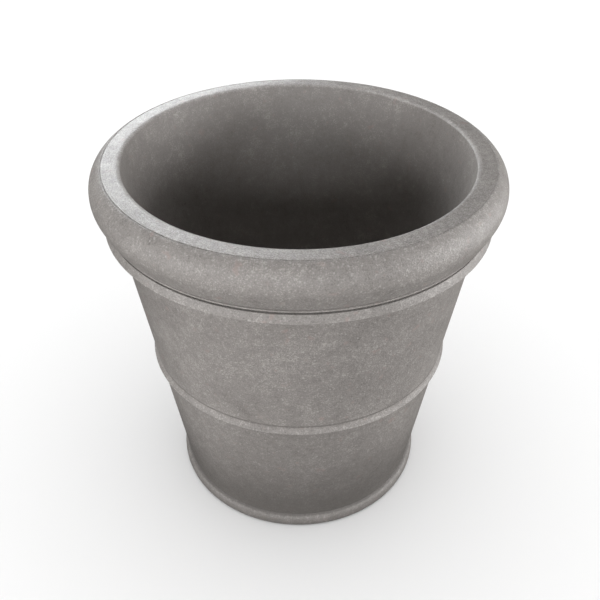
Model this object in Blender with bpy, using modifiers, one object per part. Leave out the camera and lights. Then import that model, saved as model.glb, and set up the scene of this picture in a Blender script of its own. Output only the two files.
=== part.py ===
"""Round street planter with a rolled rim.

A tapered outer shell holds a lift-out liner. The liner's rim rolls over and stands its skirt,
on a gasket, on top of the shell's collar, round a low spigot that centres it. Ribs on the
shell's floor carry the liner's floor. Water leaves through a drain outlet clamped in the
liner's floor, with a strainer over it and a pull-out stopper under it, above an access hole.
The shell stands on six rubber feet, each held by a screw in a brass insert.

Metres, +Z up. The origin is on the axis, at the level of the feet's undersides.
"""

from math import acos, asin, cos, degrees, pi, radians, sin, sqrt

import bmesh
import bpy
from mathutils import Matrix

# Overall
HEIGHT = 0.6440
CONE_FOOT_RADIUS = 0.2216       # the tapered wall's outer radius, carried down to the ground
TAPER = 0.1375                  # how much a radius grows for each metre of height
SHELL_WALL = 0.0065
LINER_WALL = 0.0060
GAP = 0.0003                    # left between pieces that touch
TURNED_STEPS = 40               # facets round the pot; a multiple of four keeps its full width on X and Y
MEDIUM_STEPS = 20
SMALL_STEPS = 12

# Rolled rim of the liner
ROLL_RADIUS = 0.0395
ROLL_CENTRE = (0.2907, 0.6091)
MOUTH_RADIUS = 0.2790           # inside of the liner's wall, just below the rim
MOUTH_EDGE = 0.0045             # rounding from that wall to the flat top
TOP_OUTER_RADIUS = 0.3073       # outer edge of the flat top
TOP_GROOVE = 0.0011             # depth of the line between the flat top and the roll
SKIRT_RADIUS = 0.3085
SKIRT_FOOT = 0.5625
BEAD_RADIUS = 0.3114
BEAD_HEIGHT = 0.0050

# Collar and spigot at the top of the shell
COLLAR_TOP = 0.5590
COLLAR_TOP_RADIUS = 0.3107
COLLAR_EDGE = (0.3159, 0.5465)
COLLAR_UNDERCUT = 0.5425
SPIGOT_RADIUS = 0.3017
SPIGOT_TOP = 0.5670

# Band at mid height
BAND_EDGE = (0.2673, 0.2820)
BAND_TOP = 0.2945
BAND_UNDERCUT = 0.2795
EDGE_ROUND = 0.0009

# Base of the shell
RING_UNDERSIDE = 0.0030
PLINTH_CENTRE = (0.2256, 0.0113)
PLINTH_BULGE = 0.0079
PLINTH_RISE = 0.0127
PLINTH_TOP = 0.0252
PLINTH_START = 68               # degrees above level where the plinth's curve leaves the wall
RECESS_RADIUS = 0.1870
FLOOR_UNDERSIDE = 0.0220
FLOOR_TOP = 0.0285
GUTTER_FLOOR = 0.0100
ACCESS_RADIUS = 0.0600
CORNER = 0.0030
WEEP_RADIUS = 0.0030

# Ribs that carry the liner
RIB_COUNT = 8
RIB_SIZE = (0.0990, 0.0140)
RIB_CIRCLE = 0.1345
RIB_TOP = 0.0440

# Liner floor and drain
LINER_UNDERSIDE = RIB_TOP + GAP
LINER_FLOOR = LINER_UNDERSIDE + LINER_WALL
LINER_CORNER = 0.0120
OUTLET_HOLE = 0.0168
TUBE_RADIUS = 0.0160
BORE_RADIUS = 0.0120
TUBE_FOOT = 0.0300
FLANGE_RADIUS = 0.0320
FLANGE_THICKNESS = 0.0040
WASHER_THICKNESS = 0.0020
WASHER_UNDERSIDE = LINER_FLOOR + GAP
FLANGE_UNDERSIDE = WASHER_UNDERSIDE + WASHER_THICKNESS + GAP
FLANGE_TOP = FLANGE_UNDERSIDE + FLANGE_THICKNESS
NUT_HEIGHT = 0.0100
NUT_ACROSS_FLATS = 0.0460
STRAINER_FOOT = LINER_FLOOR + GAP
STRAINER_TOP = 0.0780
STRAINER_RADIUS = 0.0360
STRAINER_WALL = 0.0034
STRAINER_SLOTS = 12
STRAINER_HOLES = 6
STOPPER_GRIP = 0.0160           # height of the stopper's lowest face above the ground

# Feet
FOOT_COUNT = 6
FOOT_CIRCLE = 0.2080
POCKET_TOP = 0.0050
PAD_RADIUS = 0.0160
PAD_TOP = POCKET_TOP - GAP
PAD_EDGE = 0.0008
COUNTERBORE_RADIUS = 0.0052
COUNTERBORE_TOP = 0.0034
BOSS_RADIUS = 0.0090
BOSS_TOP = 0.0200
INSERT_RADIUS = 0.0043
INSERT_TOP = 0.0150
SCREW_RADIUS = 0.0023
SCREW_TIP = 0.0140
HEAD_RADIUS = 0.0044
HEAD_UNDERSIDE = 0.0008
SOCKET_RADIUS = 0.0019
SOCKET_DEPTH = 0.0014
RUNNING = 0.0004                # clearance round the screw and the insert


def cone_radius(height):
    return CONE_FOOT_RADIUS + TAPER * height


def across(thickness):
    """The width, measured level, of a tapered wall of this thickness."""
    return thickness * sqrt(1 + TAPER ** 2)


def liner_inside(height):
    return MOUTH_RADIUS - TAPER * (HEIGHT - MOUTH_EDGE - height)


def roll_angle(radius, circle):
    """The angle, in degrees above level, where a circle about the roll's centre reaches this radius."""
    return degrees(acos((radius - ROLL_CENTRE[0]) / circle))


def arc(centre, radius, start, end, steps, rise=None):
    """(radius, height) points on an arc, by angle in degrees. With a rise it is an ellipse's."""
    rise = rise or radius
    points = []
    for i in range(steps + 1):
        angle = radians(start + (end - start) * i / steps)
        points.append((centre[0] + radius * cos(angle), centre[1] + rise * sin(angle)))
    return points


def around(count, radius, turn=0.0):
    """Angles, and the places at them, spaced evenly on a circle about Z."""
    for i in range(count):
        angle = turn + 2 * pi * i / count
        yield angle, (radius * cos(angle), radius * sin(angle))


def collection(name):
    made = bpy.data.collections.new(name)
    bpy.context.scene.collection.children.link(made)
    return made


def material(name, colour, roughness, metallic=0.0):
    made = bpy.data.materials.new(name)
    made.use_nodes = True
    made.diffuse_color = (*colour, 1.0)
    surface = made.node_tree.nodes["Principled BSDF"]
    surface.inputs["Base Color"].default_value = (*colour, 1.0)
    surface.inputs["Roughness"].default_value = roughness
    surface.inputs["Metallic"].default_value = metallic
    return made


def mesh_object(name, mesh, group, finish=None, place=(0, 0)):
    made = bpy.data.objects.new(name, mesh)
    made.location = (*place, 0)
    group.objects.link(made)
    if finish:
        mesh.materials.append(finish)
    return made


def turned(name, section, group, finish, steps, closed=True, place=(0, 0)):
    """Turn a section of (radius, height) points about Z. An open section starts and ends on the axis."""
    count = len(section)
    edges = [(i, (i + 1) % count) for i in range(count if closed else count - 1)]
    mesh = bpy.data.meshes.new(name)
    mesh.from_pydata([(radius, 0, height) for radius, height in section], edges, [])
    made = mesh_object(name, mesh, group, finish, place)
    screw = made.modifiers.new("Turn", "SCREW")
    screw.steps = steps
    screw.render_steps = steps
    screw.use_merge_vertices = True
    screw.merge_threshold = 0.00001
    screw.use_smooth_shade = True
    return made


def cylinders(name, places, radius, low, high, group, steps=SMALL_STEPS):
    """Upright cylinders in one mesh."""
    shape = bmesh.new()
    for place in places:
        made = bmesh.ops.create_cone(
            shape, cap_ends=True, segments=steps, radius1=radius, radius2=radius, depth=high - low
        )
        bmesh.ops.translate(shape, verts=made["verts"], vec=(*place, (low + high) / 2))
    mesh = bpy.data.meshes.new(name)
    shape.to_mesh(mesh)
    shape.free()
    return mesh_object(name, mesh, group)


def radial_boxes(name, places, length, width, low, high, group):
    """Upright boxes in one mesh, each with its length along its own radius."""
    shape = bmesh.new()
    for angle, place in places:
        made = bmesh.ops.create_cube(shape, size=1.0)
        bmesh.ops.scale(shape, verts=made["verts"], vec=(length, width, high - low))
        bmesh.ops.rotate(shape, verts=made["verts"], matrix=Matrix.Rotation(angle, 3, "Z"))
        bmesh.ops.translate(shape, verts=made["verts"], vec=(*place, (low + high) / 2))
    mesh = bpy.data.meshes.new(name)
    shape.to_mesh(mesh)
    shape.free()
    return mesh_object(name, mesh, group)


def combine(made, other, operation="DIFFERENCE"):
    other.hide_render = True
    other.display_type = "WIRE"
    change = made.modifiers.new(other.name, "BOOLEAN")
    change.operation = operation
    change.object = other


def shell_section():
    """Outer side from the spigot down, across the base, and up the inside."""
    band_height = BAND_TOP - BAND_EDGE[1]
    band_out = BAND_EDGE[0] - cone_radius(BAND_TOP)
    gutter_inner = RECESS_RADIUS + SHELL_WALL
    wall = across(SHELL_WALL)
    collar = [
        (SPIGOT_RADIUS, SPIGOT_TOP),
        (SPIGOT_RADIUS, COLLAR_TOP),
        (COLLAR_TOP_RADIUS - EDGE_ROUND, COLLAR_TOP),
        (COLLAR_TOP_RADIUS, COLLAR_TOP - EDGE_ROUND),
        COLLAR_EDGE,
        (COLLAR_EDGE[0] - EDGE_ROUND, COLLAR_EDGE[1] - EDGE_ROUND),
        (cone_radius(COLLAR_UNDERCUT), COLLAR_UNDERCUT),
    ]
    band = [
        (cone_radius(BAND_TOP), BAND_TOP),
        (cone_radius(BAND_TOP) + 0.15 * band_out, BAND_TOP - 0.35 * band_height),
        (cone_radius(BAND_TOP) + 0.50 * band_out, BAND_TOP - 0.70 * band_height),
        BAND_EDGE,
        (BAND_EDGE[0] - EDGE_ROUND, BAND_EDGE[1] - EDGE_ROUND),
        (cone_radius(BAND_UNDERCUT), BAND_UNDERCUT),
    ]
    plinth = [(cone_radius(PLINTH_TOP), PLINTH_TOP)]
    plinth += arc(PLINTH_CENTRE, PLINTH_BULGE, PLINTH_START, 0, 4, PLINTH_RISE)
    plinth += [
        (PLINTH_CENTRE[0] + PLINTH_BULGE - EDGE_ROUND, RING_UNDERSIDE + EDGE_ROUND),
        (PLINTH_CENTRE[0] + PLINTH_BULGE - 2 * EDGE_ROUND, RING_UNDERSIDE),
    ]
    base = [
        (RECESS_RADIUS, RING_UNDERSIDE),
        (RECESS_RADIUS, FLOOR_UNDERSIDE),
        (ACCESS_RADIUS, FLOOR_UNDERSIDE),
        (ACCESS_RADIUS, FLOOR_TOP),
        (gutter_inner, FLOOR_TOP),
        (gutter_inner, GUTTER_FLOOR),
    ]
    inside = [
        (cone_radius(GUTTER_FLOOR) - wall - CORNER, GUTTER_FLOOR),
        (cone_radius(GUTTER_FLOOR + CORNER) - wall, GUTTER_FLOOR + CORNER),
        (cone_radius(SPIGOT_TOP) - wall, SPIGOT_TOP),
    ]
    return collar + band + plinth + base + inside


def liner_section():
    """Outer side from the flat top round the roll and skirt, back under it, then down and up the cup."""
    roll_inner = ROLL_RADIUS - LINER_WALL
    skirt_inner = SKIRT_RADIUS - LINER_WALL
    wall = across(LINER_WALL)
    ceiling = HEIGHT - LINER_WALL
    roll_start = roll_angle(TOP_OUTER_RADIUS + 2 * TOP_GROOVE, ROLL_RADIUS)
    roll_end = -roll_angle(SKIRT_RADIUS, ROLL_RADIUS)
    rim = [
        (TOP_OUTER_RADIUS, HEIGHT),
        (TOP_OUTER_RADIUS + TOP_GROOVE, HEIGHT - TOP_GROOVE),
    ]
    rim += arc(ROLL_CENTRE, ROLL_RADIUS, roll_start, 0, 5)
    rim += arc(ROLL_CENTRE, ROLL_RADIUS, 0, roll_end, 6)[1:]
    rim += [
        (SKIRT_RADIUS, SKIRT_FOOT + BEAD_HEIGHT + EDGE_ROUND),
        (BEAD_RADIUS, SKIRT_FOOT + BEAD_HEIGHT - EDGE_ROUND),
        (BEAD_RADIUS, SKIRT_FOOT + EDGE_ROUND),
        (BEAD_RADIUS - EDGE_ROUND, SKIRT_FOOT),
        (skirt_inner, SKIRT_FOOT),
    ]
    ceiling_angle = degrees(asin((ceiling - ROLL_CENTRE[1]) / roll_inner))
    rim += arc(ROLL_CENTRE, roll_inner, -roll_angle(skirt_inner, roll_inner), ceiling_angle, 7)
    rim += [(liner_inside(ceiling) + wall, ceiling)]
    outer_foot = liner_inside(LINER_UNDERSIDE) + wall
    inner_foot = liner_inside(LINER_FLOOR)
    floor = [(outer_foot + TAPER * LINER_CORNER, LINER_UNDERSIDE + LINER_CORNER)]
    floor += [(outer_foot - 0.3 * LINER_CORNER, LINER_UNDERSIDE + 0.3 * LINER_CORNER)]
    floor += [
        (outer_foot - LINER_CORNER, LINER_UNDERSIDE),
        (OUTLET_HOLE, LINER_UNDERSIDE),
        (OUTLET_HOLE, LINER_FLOOR),
        (inner_foot - LINER_CORNER, LINER_FLOOR),
        (inner_foot - 0.3 * LINER_CORNER, LINER_FLOOR + 0.3 * LINER_CORNER),
        (inner_foot + TAPER * LINER_CORNER, LINER_FLOOR + LINER_CORNER),
    ]
    mouth_centre = (MOUTH_RADIUS + MOUTH_EDGE, HEIGHT - MOUTH_EDGE)
    mouth = arc(mouth_centre, MOUTH_EDGE, 180, 90, 3)
    return rim + floor + mouth


def flat_ring(inner, outer, low, high):
    """The section of a plain ring."""
    return [(outer, high), (outer, low), (inner, low), (inner, high)]


def make_shell(parts, cutters, finish):
    """The turned wall and base, joined with ribs and bosses, then pocketed and drilled for the feet."""
    shell = turned("outer_shell", shell_section(), parts, finish, TURNED_STEPS)
    between = pi / FOOT_COUNT
    ribs = list(around(RIB_COUNT, RIB_CIRCLE, pi / RIB_COUNT))
    feet = [place for angle, place in around(FOOT_COUNT, FOOT_CIRCLE)]
    weeps = [place for angle, place in around(FOOT_COUNT, FOOT_CIRCLE, between)]
    rib_foot = (FLOOR_UNDERSIDE + FLOOR_TOP) / 2
    insert_hole = INSERT_RADIUS + RUNNING
    under = -GUTTER_FLOOR
    joined = radial_boxes("liner_ribs", ribs, *RIB_SIZE, rib_foot, RIB_TOP, cutters)
    combine(shell, joined, "UNION")
    boss_foot = (POCKET_TOP + GUTTER_FLOOR) / 2
    combine(shell, cylinders("foot_bosses", feet, BOSS_RADIUS, boss_foot, BOSS_TOP, cutters), "UNION")
    pocket = PAD_RADIUS + RUNNING
    combine(shell, cylinders("pad_pockets", feet, pocket, under, POCKET_TOP, cutters, MEDIUM_STEPS))
    insert_top = INSERT_TOP + GAP
    combine(shell, cylinders("insert_holes", feet, insert_hole, under, insert_top, cutters))
    combine(shell, cylinders("weep_holes", weeps, WEEP_RADIUS, under, BOSS_TOP, cutters))


def make_liner(parts, finish):
    turned("liner", liner_section(), parts, finish, TURNED_STEPS)


def make_gasket(parts, finish):
    """The ring between the rim's skirt and the collar."""
    inner = SPIGOT_RADIUS + GAP
    section = flat_ring(inner, SKIRT_RADIUS - GAP, COLLAR_TOP + GAP, SKIRT_FOOT - GAP)
    turned("rim_gasket", section, parts, finish, TURNED_STEPS)


def make_outlet(parts, cutters, plastic, rubber):
    """A flanged tube through the liner's floor, its washer above the floor and its nut below."""
    section = [
        (FLANGE_RADIUS - CORNER / 2, FLANGE_TOP),
        (FLANGE_RADIUS, FLANGE_TOP - CORNER / 2),
        (FLANGE_RADIUS, FLANGE_UNDERSIDE),
        (TUBE_RADIUS, FLANGE_UNDERSIDE),
        (TUBE_RADIUS, TUBE_FOOT),
        (BORE_RADIUS, TUBE_FOOT),
        (BORE_RADIUS, FLANGE_TOP - CORNER / 2),
        (BORE_RADIUS + CORNER, FLANGE_TOP),
    ]
    turned("drain_outlet", section, parts, plastic, MEDIUM_STEPS)
    low = WASHER_UNDERSIDE
    washer = flat_ring(OUTLET_HOLE, FLANGE_RADIUS, low, low + WASHER_THICKNESS)
    turned("outlet_washer", washer, parts, rubber, MEDIUM_STEPS)
    corner_radius = NUT_ACROSS_FLATS / 2 / cos(pi / 6)
    top = LINER_UNDERSIDE - GAP
    nut = cylinders("outlet_nut", [(0, 0)], corner_radius, top - NUT_HEIGHT, top, parts, 6)
    nut.data.materials.append(plastic)
    bore = cylinders("nut_bore", [(0, 0)], TUBE_RADIUS + RUNNING, 0, HEIGHT, cutters, MEDIUM_STEPS)
    combine(nut, bore)


def make_strainer(parts, cutters, finish):
    """A domed cap over the outlet's flange, slotted round its shoulder."""
    inner = STRAINER_RADIUS - STRAINER_WALL
    shoulder = STRAINER_RADIUS / 3
    wall = STRAINER_WALL
    section = [(0, STRAINER_TOP)]
    centre = (STRAINER_RADIUS - shoulder, STRAINER_TOP - shoulder)
    section += arc(centre, shoulder, 90, 0, 4)
    section += [(STRAINER_RADIUS, STRAINER_FOOT), (inner, STRAINER_FOOT)]
    section += arc(centre, shoulder - wall, 0, 90, 3)
    section += [(0, STRAINER_TOP - wall)]
    strainer = turned("drain_strainer", section, parts, finish, MEDIUM_STEPS, closed=False)
    slots = list(around(STRAINER_SLOTS, STRAINER_RADIUS - shoulder / 4))
    low = FLANGE_TOP + WASHER_THICKNESS
    high = STRAINER_TOP - shoulder / 4
    combine(strainer, radial_boxes("strainer_slots", slots, shoulder, wall, low, high, cutters))
    holes = [place for angle, place in around(STRAINER_HOLES, shoulder)]
    over = STRAINER_TOP + wall
    combine(strainer, cylinders("strainer_holes", holes, wall / 2, low, over, cutters))


def make_stopper(parts, finish):
    """A bung that grips the outlet's bore from below, with a knob to pull it by."""
    plug = BORE_RADIUS - GAP
    flange_top = TUBE_FOOT - GAP
    flange_foot = flange_top - CORNER
    section = [
        (0, flange_top + 4 * CORNER),
        (plug - CORNER / 3, flange_top + 4 * CORNER),
        (plug, flange_top + 3 * CORNER),
        (plug, flange_top),
        (TUBE_RADIUS, flange_top),
        (TUBE_RADIUS, flange_foot),
        (plug / 3, flange_foot - CORNER / 2),
        (plug / 3, STOPPER_GRIP + 2 * CORNER),
        (2 * plug / 3, STOPPER_GRIP + CORNER),
        (2 * plug / 3, STOPPER_GRIP),
        (0, STOPPER_GRIP),
    ]
    turned("drain_stopper", section, parts, finish, MEDIUM_STEPS, closed=False)


def make_foot(number, place, parts, cutters, rubber, steel, brass):
    """A rubber pad in its pocket, the screw through it and the insert that takes the screw."""
    pad_section = [
        (PAD_RADIUS, PAD_TOP),
        (PAD_RADIUS, PAD_EDGE),
        (PAD_RADIUS - PAD_EDGE, 0),
        (COUNTERBORE_RADIUS, 0),
        (COUNTERBORE_RADIUS, COUNTERBORE_TOP),
        (SCREW_RADIUS + RUNNING, COUNTERBORE_TOP),
        (SCREW_RADIUS + RUNNING, PAD_TOP),
    ]
    turned(f"foot_pad_{number}", pad_section, parts, rubber, MEDIUM_STEPS, place=place)
    head_top = COUNTERBORE_TOP - GAP
    screw_section = [
        (0, SCREW_TIP),
        (SCREW_RADIUS / 2, SCREW_TIP),
        (SCREW_RADIUS, SCREW_TIP - SCREW_RADIUS / 2),
        (SCREW_RADIUS, head_top),
        (HEAD_RADIUS, head_top),
        (HEAD_RADIUS, HEAD_UNDERSIDE + PAD_EDGE / 2),
        (HEAD_RADIUS - PAD_EDGE / 2, HEAD_UNDERSIDE),
        (0, HEAD_UNDERSIDE),
    ]
    screw = turned(f"foot_screw_{number}", screw_section, parts, steel, SMALL_STEPS, False, place)
    socket_top = HEAD_UNDERSIDE + SOCKET_DEPTH
    name = f"screw_socket_{number}"
    combine(screw, cylinders(name, [place], SOCKET_RADIUS, -socket_top, socket_top, cutters, 6))
    inner = SCREW_RADIUS + RUNNING
    insert_section = flat_ring(inner, INSERT_RADIUS, POCKET_TOP, INSERT_TOP)
    turned(f"foot_insert_{number}", insert_section, parts, brass, SMALL_STEPS, place=place)


def build():
    for old in list(bpy.data.objects):
        bpy.data.objects.remove(old, do_unlink=True)
    parts = collection("street_planter")
    cutters = collection("cutters")
    stone = material("weathered stone finish", (0.25, 0.235, 0.225), 0.55)
    liner_stone = material("weathered stone finish, liner", (0.26, 0.245, 0.235), 0.5)
    dark_rubber = material("dark rubber", (0.03, 0.03, 0.032), 0.8)
    foot_rubber = material("foot rubber", (0.04, 0.04, 0.042), 0.85)
    black_plastic = material("black plastic", (0.035, 0.035, 0.038), 0.45)
    steel = material("stainless steel", (0.62, 0.61, 0.6), 0.3, 1.0)
    brass = material("brass", (0.72, 0.52, 0.25), 0.35, 1.0)
    make_shell(parts, cutters, stone)
    make_liner(parts, liner_stone)
    make_gasket(parts, dark_rubber)
    make_outlet(parts, cutters, black_plastic, dark_rubber)
    make_strainer(parts, cutters, black_plastic)
    make_stopper(parts, dark_rubber)
    for i, (angle, place) in enumerate(around(FOOT_COUNT, FOOT_CIRCLE)):
        make_foot(i + 1, place, parts, cutters, foot_rubber, steel, brass)


build()
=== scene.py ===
"""A round street planter with a rolled rim, a lift-out liner, a drain and feet, on its fixed frame.

Each operator makes one piece, or one group of like pieces, and hangs it on the body it moves with.
Metres, +Z up, with the pot's axis on Z and its feet on the ground.
"""

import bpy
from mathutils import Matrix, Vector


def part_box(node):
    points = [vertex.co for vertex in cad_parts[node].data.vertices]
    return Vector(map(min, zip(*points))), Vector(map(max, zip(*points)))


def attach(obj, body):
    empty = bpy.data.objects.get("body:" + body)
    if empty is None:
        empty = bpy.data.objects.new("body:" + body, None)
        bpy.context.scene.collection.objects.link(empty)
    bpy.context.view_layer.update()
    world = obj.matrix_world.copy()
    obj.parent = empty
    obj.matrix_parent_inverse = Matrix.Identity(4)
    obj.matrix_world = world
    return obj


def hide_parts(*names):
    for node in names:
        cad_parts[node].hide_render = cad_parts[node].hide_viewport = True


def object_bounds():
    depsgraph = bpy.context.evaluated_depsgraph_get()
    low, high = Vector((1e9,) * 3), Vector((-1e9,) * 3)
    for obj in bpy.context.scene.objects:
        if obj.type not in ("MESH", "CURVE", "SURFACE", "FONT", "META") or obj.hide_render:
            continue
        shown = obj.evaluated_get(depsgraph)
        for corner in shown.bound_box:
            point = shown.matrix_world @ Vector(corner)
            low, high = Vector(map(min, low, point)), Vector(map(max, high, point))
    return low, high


bl_info = {
    "name": "Street Planter",
    "version": (1, 0, 0),
    "blender": (4, 5, 0),
    "location": "3D View > Sidebar > Planter",
    "description": "Builds a round street planter with a rolled rim, a liner, a drain and feet",
    "category": "Add Mesh",
}

from math import acos, asin, cos, degrees, hypot, pi, radians, sin, sqrt, tan

import bmesh
import bpy
from bpy.props import FloatProperty, FloatVectorProperty, PointerProperty
from mathutils import Matrix, Vector

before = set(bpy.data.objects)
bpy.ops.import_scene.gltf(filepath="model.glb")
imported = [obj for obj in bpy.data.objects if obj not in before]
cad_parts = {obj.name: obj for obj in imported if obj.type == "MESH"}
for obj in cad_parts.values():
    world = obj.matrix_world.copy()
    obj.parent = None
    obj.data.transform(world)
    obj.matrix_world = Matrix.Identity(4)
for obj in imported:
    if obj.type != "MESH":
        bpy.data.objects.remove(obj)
CAD_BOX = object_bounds()

FINE_STEPS = 256  # facets round the pot's large pieces
SMALL_STEPS = 64  # facets round the fittings
SCREW_STEPS = 40  # facets round the screws and inserts
BORE_STEPS = 32  # facets round small drilled holes
CLEARANCE = 0.0003  # gap between pieces that touch
RUNNING = 0.0004  # clearance round the screws and inserts
TINY = 1e-7  # a length too short to matter
ORIGIN = (0.0, 0.0, 0.0)

# The rim and collar. The first two are as the frame has them
ROLL_HEIGHT = 0.6091  # height of the middle of the rolled rim's section
SPIGOT_RADIUS = 0.3017
ROLL_END = -25  # where the round of the roll turns into its underside, in degrees
UNDERSIDE = 28  # slope of the underside, in degrees
CHEEK_ROUNDING = 0.0240  # between the round of the roll and its underside
COLLAR_TAPER = tan(radians(22.6))

# Heights and radii inside the base and round the drain, as the frame has them
RECESS_RADIUS = 0.1870
FLOOR_UNDERSIDE = 0.0220
FLOOR_TOP = 0.0285
GUTTER_FLOOR = 0.0100
ACCESS_RADIUS = 0.0600
OUTLET_HOLE = 0.0168
TUBE_RADIUS = 0.0160
BORE_RADIUS = 0.0120
THREAD_TOP = 0.0420
RIB_COUNT = 8
RIB_SIZE = (0.0990, 0.0140)
RIB_CIRCLE = 0.1345
RIB_TOP = 0.0440
WEEP_RADIUS = 0.0030
FOOT_COUNT = 6
POCKET_TOP = 0.0050
BOSS_RADIUS = 0.0090
BOSS_TOP = 0.0200
HEAD_SEAT = 0.0034  # height of the step in a foot that its screw's head bears on
HEAD_TOP = 0.0031  # height of the top of that head
SHANK_HOLE = 0.0027  # radius of the hole for the screw in its foot and its insert

# Sizes of the stone finish's patterns, and where they change
CLOUD_SIZE = 0.110
MOTTLE_SIZE = 0.024
PATCH_SIZE = 0.016
BLOTCH_SIZE = 0.0080
DOT_SPACING = 0.0060
RIM_RADII = (0.273, 0.284)  # from the liner's smoother inside to the rougher rim
SHELL_HEIGHTS = (0.58, 0.52)  # below these all of the shell is rough
TOP_HEIGHTS = (0.6434, 0.6438)  # from the rim's sides to its flat top
PLINTH_HEIGHTS = (0.0235, 0.0265)
GROUND_SHADE_HEIGHTS = (0.26, 0.02)  # where the painted shade near the ground starts, and where it is full

# Each softbox's bearing from the camera's side towards its right, elevation, power and colour
NEUTRAL = (1.0, 1.0, 1.0)
COOL = (0.95, 0.98, 1.0)
SOFTBOXES = {
    "rear_left_low": (195, 14, 27.0, COOL),
    "rear_left_high": (210, 34, 42.0, COOL),
    "overhead": (180, 68, 38.0, NEUTRAL),
    "rear_right": (120, 26, 8.0, NEUTRAL),
    "right": (90, 8, 74.0, NEUTRAL),
    "front_right": (60, 10, 18.0, NEUTRAL),
    "front": (0, 17, 53.0, NEUTRAL),
    "left": (300, 8, 64.5, NEUTRAL),
}
SOFTBOX_SIZE = (1.4, 1.2)
LIT_FROM = (0.0, 0.0, 0.3)  # the point that the softboxes face
SENSOR_WIDTH = 36.0  # in millimetres


def node_low(name):
    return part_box(name)[0]


def node_high(name):
    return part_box(name)[1]


# Sections and turned shapes


def fillet(before, corner, after, radius, steps):
    """Points of an arc that rounds a corner of a section."""
    start = Vector(before) - Vector(corner)
    end = Vector(after) - Vector(corner)
    if radius <= 0 or start.length < TINY or end.length < TINY:
        return [tuple(corner)]
    opening = start.angle(end)
    if opening > radians(178) or opening < radians(2):
        return [tuple(corner)]
    reach = min(radius / tan(opening / 2), 0.49 * start.length, 0.49 * end.length)
    start.normalize()
    end.normalize()
    first = Vector(corner) + start * reach
    last = Vector(corner) + end * reach
    middle_way = (start + end).normalized()
    centre = Vector(corner) + middle_way * hypot(reach, reach * tan(opening / 2))
    from_first = first - centre
    sweep = from_first.angle_signed(last - centre)
    points = []
    for i in range(steps + 1):
        turn = Matrix.Rotation(-sweep * i / steps, 2)
        points.append(tuple(centre + turn @ from_first))
    return points


def rounded(corners, closed=True, steps=4):
    """A section from (radius, height, rounding) corners, with an arc at each."""
    points = []
    count = len(corners)
    for i, (radius, height, rounding) in enumerate(corners):
        if not closed and i in (0, count - 1):
            points.append((radius, height))
            continue
        before = corners[i - 1][:2]
        after = corners[(i + 1) % count][:2]
        points += fillet(before, (radius, height), after, rounding, steps)
    return points


def arc(centre, radius, start, end, steps, rise=None):
    """(radius, height) points on an arc, by angle in degrees. With a rise it is an ellipse's."""
    rise = rise or radius
    points = []
    for i in range(steps + 1):
        angle = radians(start + (end - start) * i / steps)
        points.append((centre[0] + radius * cos(angle), centre[1] + rise * sin(angle)))
    return points


def crossing(point, bearing, other, other_bearing):
    """Where two (radius, height) lines meet, each given by a point and its bearing in degrees."""
    along = (cos(radians(bearing)), sin(radians(bearing)))
    across = (-sin(radians(other_bearing)), cos(radians(other_bearing)))
    gap = (other[0] - point[0]) * across[0] + (other[1] - point[1]) * across[1]
    distance = gap / (along[0] * across[0] + along[1] * across[1])
    return (point[0] + distance * along[0], point[1] + distance * along[1])


def turned(name, section, steps=FINE_STEPS, closed=True, place=(0.0, 0.0)):
    """A section turned about an upright axis: a ring if closed, or else with its ends on the axis."""
    shape = bmesh.new()
    count = len(section)
    rings = []
    for radius, height in section:
        if radius < TINY:
            rings.append([shape.verts.new((*place, height))])
            continue
        ring = []
        for _, (x, y) in around(steps, radius):
            ring.append(shape.verts.new((place[0] + x, place[1] + y, height)))
        rings.append(ring)
    for j in range(count if closed else count - 1):
        join_rings(shape, rings[j], rings[(j + 1) % count], steps)
    return finished(name, shape)


def join_rings(shape, upper, lower, steps):
    """Faces between two rings of a turned shape, either of which may be a single point."""
    for i in range(steps):
        k = (i + 1) % steps
        if len(upper) == 1:
            shape.faces.new((upper[0], lower[i], lower[k]))
        elif len(lower) == 1:
            shape.faces.new((upper[i], lower[0], upper[k]))
        else:
            shape.faces.new((upper[i], lower[i], lower[k], upper[k]))


def finished(name, shape, sharp=40):
    """An object in the scene from a bmesh, with smooth shading that breaks at sharp edges."""
    mesh = bpy.data.meshes.new(name)
    shape.to_mesh(mesh)
    shape.free()
    made = bpy.data.objects.new(name, mesh)
    bpy.context.scene.collection.objects.link(made)
    smooth(made, sharp)
    return made


def smooth(piece, sharp=40):
    piece.data.shade_smooth()
    piece.data.set_sharp_from_angle(angle=radians(sharp))


def combine(piece, others, operation="DIFFERENCE"):
    """Booleans with solids that are used up."""
    for other in others:
        change = piece.modifiers.new(other.name, "BOOLEAN")
        change.operation = operation
        change.object = other
    settle(piece)
    for other in others:
        bpy.data.objects.remove(other, do_unlink=True)


def settle(piece, sharp=40):
    """Turn a piece's modifiers into plain mesh."""
    seen = piece.evaluated_get(bpy.context.evaluated_depsgraph_get())
    mesh = bpy.data.meshes.new_from_object(seen)
    old = piece.data
    piece.modifiers.clear()
    piece.data = mesh
    bpy.data.meshes.remove(old)
    smooth(piece, sharp)


def join(piece, others):
    """Put other solids' meshes into a piece's own."""
    shape = bmesh.new()
    shape.from_mesh(piece.data)
    for other in others:
        shape.from_mesh(other.data)
        bpy.data.objects.remove(other, do_unlink=True)
    shape.to_mesh(piece.data)
    shape.free()
    smooth(piece)


def pegs(name, places, radius, low, high, steps=48):
    """Upright cylinders in one mesh."""
    shape = bmesh.new()
    for place in places:
        made = bmesh.ops.create_cone(
            shape, cap_ends=True, segments=steps, radius1=radius, radius2=radius, depth=high - low
        )
        bmesh.ops.translate(shape, verts=made["verts"], vec=(*place, (low + high) / 2))
    return finished(name, shape)


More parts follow.
